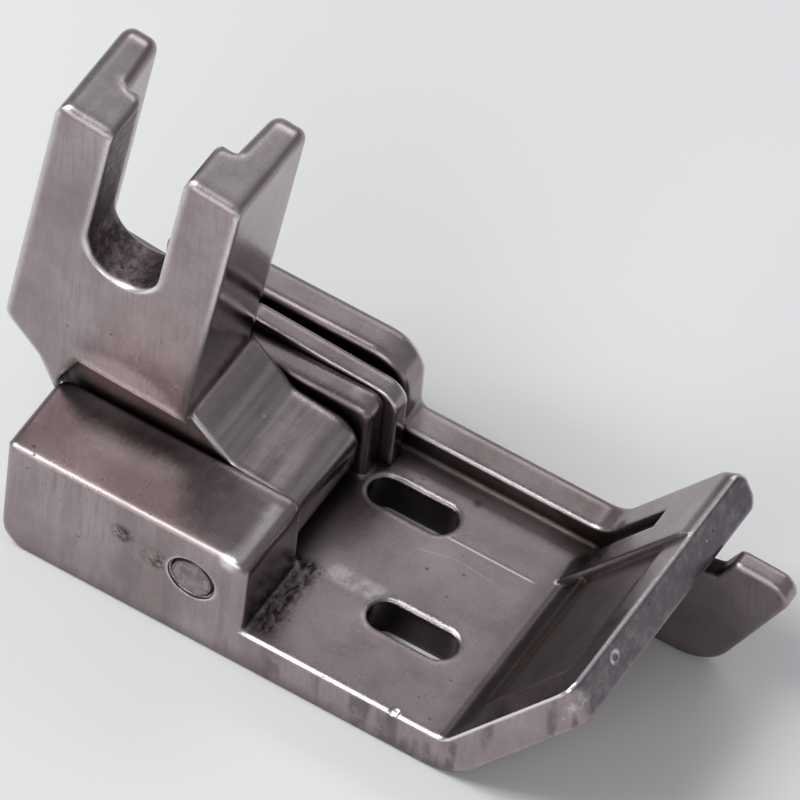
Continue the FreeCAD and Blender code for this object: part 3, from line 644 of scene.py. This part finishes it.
def pin_marks(surface, colours):
    """What only the pin has: a smudged end with a dark rim."""
    finish = surface.finish
    patchy = finish.noise(1500.0, 4.0, 0.7)
    rim = finish.reach(surface.x, surface.z - PIN_AXIS[2]).step(*PIN_RIM)
    surface.tint(patchy.step(0.42, 0.60) * 0.42, colours.grime_and_shade)
    surface.depth = surface.depth + patchy * 1.5
    surface.stain_and_shade = surface.stain_and_shade + rim * 0.85


class PRESSERFOOT_OT_sole(bpy.types.Operator):
    """Finish the sole with its worn flats, sunk panel and polished bevel"""
    bl_idname = "presser_foot.sole"
    bl_label = "Sole"

    def execute(self, context):
        colours = context.scene.presser_foot_steel
        dress("sole", worn_steel("sole_steel_finish", colours, sole_marks, SOLE_EDGE))
        return {"FINISHED"}


class PRESSERFOOT_OT_shank(bpy.types.Operator):
    """Finish the shank with its screw slot and hinge block"""
    bl_idname = "presser_foot.shank"
    bl_label = "Shank"

    def execute(self, context):
        colours = context.scene.presser_foot_steel
        dress("shank", worn_steel("shank_steel_finish", colours, shank_marks, SHANK_EDGE,
                                  turn=(0.0, SHANK_LEAN, 0.0)))
        return {"FINISHED"}


class PRESSERFOOT_OT_pin(bpy.types.Operator):
    """Finish the hinge pin's end"""
    bl_idname = "presser_foot.pin"
    bl_label = "Hinge pin"

    def execute(self, context):
        colours = context.scene.presser_foot_steel
        dress("hinge_pin", worn_steel("pin_steel_finish", colours, pin_marks, PIN_EDGE))
        return {"FINISHED"}


class PRESSERFOOT_OT_blade(bpy.types.Operator):
    """Finish the guide blade and its tongue"""
    bl_idname = "presser_foot.blade"
    bl_label = "Guide blade"

    def execute(self, context):
        colours = context.scene.presser_foot_steel
        dress("guide_blade", worn_steel("blade_steel_finish", colours, blade_marks, BLADE_EDGE))
        return {"FINISHED"}


class PRESSERFOOT_OT_springs(bpy.types.Operator):
    """Finish the two coil springs"""
    bl_idname = "presser_foot.springs"
    bl_label = "Springs"

    def execute(self, context):
        colours = context.scene.presser_foot_steel
        finish = Finish("spring_wire_finish")
        cloud = finish.noise(1400.0, 3.0, 0.6)
        drawn = finish.noise(6000.0, 2.0, 0.5)
        base = finish.mix(cloud, colours.wire, colours.grime_and_shade)
        wire = finish.close(base, (0.3 + cloud * 0.25).clamped(), drawn, WIRE_RELIEF)
        dress("hinge_spring", wire)
        dress("blade_spring", wire)
        return {"FINISHED"}


def flat_board(name, centre, size, material):
    """A flat level board, such as the floor."""
    mesh = bpy.data.meshes.new(name)
    shape = bmesh.new()
    bmesh.ops.create_grid(shape, x_segments=1, y_segments=1, size=size)
    bmesh.ops.translate(shape, verts=shape.verts, vec=centre)
    shape.to_mesh(mesh)
    shape.free()
    board = bpy.data.objects.new(name, mesh)
    board.data.materials.append(material)
    bpy.context.scene.collection.objects.link(board)


def lay_floor(studio):
    """The pale floor just under the part."""
    finish = Finish("floor_finish")
    grain = finish.noise(60.0, 3.0, 0.5)
    base = finish.mix(grain, studio.floor, tuple(channel * 0.97 for channel in studio.floor))
    shader = finish.node("ShaderNodeBsdfPrincipled", {}, {"Base Color": base, "Roughness": 0.75})
    finish.node("ShaderNodeOutputMaterial", {}, {"Surface": shader})
    flat_board("floor", FLOOR_PLACE, FLOOR_HALF_WIDTH, finish.material)


def soft_lamp(name, place, size, power):
    """A soft lamp that points at the part."""
    data = bpy.data.lights.new(name, "AREA")
    data.shape = "RECTANGLE"
    data.size, data.size_y = size
    data.energy = power
    lamp = bpy.data.objects.new(name, data)
    lamp.location = place
    lamp.rotation_euler = (Vector(LAMP_TARGET) - Vector(place)).to_track_quat("-Z", "Y").to_euler()
    bpy.context.scene.collection.objects.link(lamp)


def light_room(scene, studio):
    """Even light from all sides."""
    room = bpy.data.worlds.new("room")
    room.use_nodes = True
    background = room.node_tree.nodes["Background"]
    background.inputs["Color"].default_value = ROOM_COLOUR
    background.inputs["Strength"].default_value = studio.sky
    scene.world = room


def place_camera(scene, studio):
    """The camera at the photo's viewing angle."""
    data = bpy.data.cameras.new("photo_camera")
    data.sensor_fit = "HORIZONTAL"
    data.sensor_width = 36.0
    data.lens = studio.lens
    data.clip_end = 5.0
    camera = bpy.data.objects.new("photo_camera", data)
    turn = PHOTO_AXES @ Matrix.Diagonal((1.0, -1.0, -1.0))
    camera.matrix_world = Matrix.Translation(CAMERA_PLACE) @ turn.to_4x4()
    scene.collection.objects.link(camera)
    scene.camera = camera
    scene.view_settings.view_transform = "Standard"


class PRESSERFOOT_OT_stage(bpy.types.Operator):
    """Set up the pale floor, the soft lamps, the room light and the camera"""
    bl_idname = "presser_foot.stage"
    bl_label = "Studio"

    def execute(self, context):
        studio = context.scene.presser_foot_studio
        lay_floor(studio)
        for name, place, size, share in LAMPS:
            soft_lamp(name, place, size, studio.key * share)
        light_room(context.scene, studio)
        place_camera(context.scene, studio)
        return {"FINISHED"}


class PRESSERFOOT_PT_panel(bpy.types.Panel):
    """The finish steps in order, and their settings"""
    bl_label = "Presser Foot"
    bl_idname = "PRESSERFOOT_PT_panel"
    bl_space_type = "VIEW_3D"
    bl_region_type = "UI"
    bl_category = "Presser Foot"

    def draw(self, context):
        layout = self.layout
        for step in STEPS:
            layout.operator(step.bl_idname)
        for group in (context.scene.presser_foot_steel, context.scene.presser_foot_studio):
            for name in group.__annotations__:
                layout.prop(group, name)


STEPS = (PRESSERFOOT_OT_sole, PRESSERFOOT_OT_shank, PRESSERFOOT_OT_pin, PRESSERFOOT_OT_blade,
         PRESSERFOOT_OT_springs, PRESSERFOOT_OT_stage)
CLASSES = (SteelColours, StudioSizes, *STEPS, PRESSERFOOT_PT_panel)


def register():
    """Add the classes and their settings to Blender."""
    for item in CLASSES:
        bpy.utils.register_class(item)
    bpy.types.Scene.presser_foot_steel = PointerProperty(type=SteelColours)
    bpy.types.Scene.presser_foot_studio = PointerProperty(type=StudioSizes)


def unregister():
    """Take the settings and the classes out again."""
    del bpy.types.Scene.presser_foot_studio
    del bpy.types.Scene.presser_foot_steel
    for item in reversed(CLASSES):
        bpy.utils.unregister_class(item)


def main():
    """Run every step."""
    register()
    bpy.ops.presser_foot.sole()
    bpy.ops.presser_foot.shank()
    bpy.ops.presser_foot.pin()
    bpy.ops.presser_foot.blade()
    bpy.ops.presser_foot.springs()
    bpy.ops.presser_foot.stage()


if __name__ == "__main__":
    main()
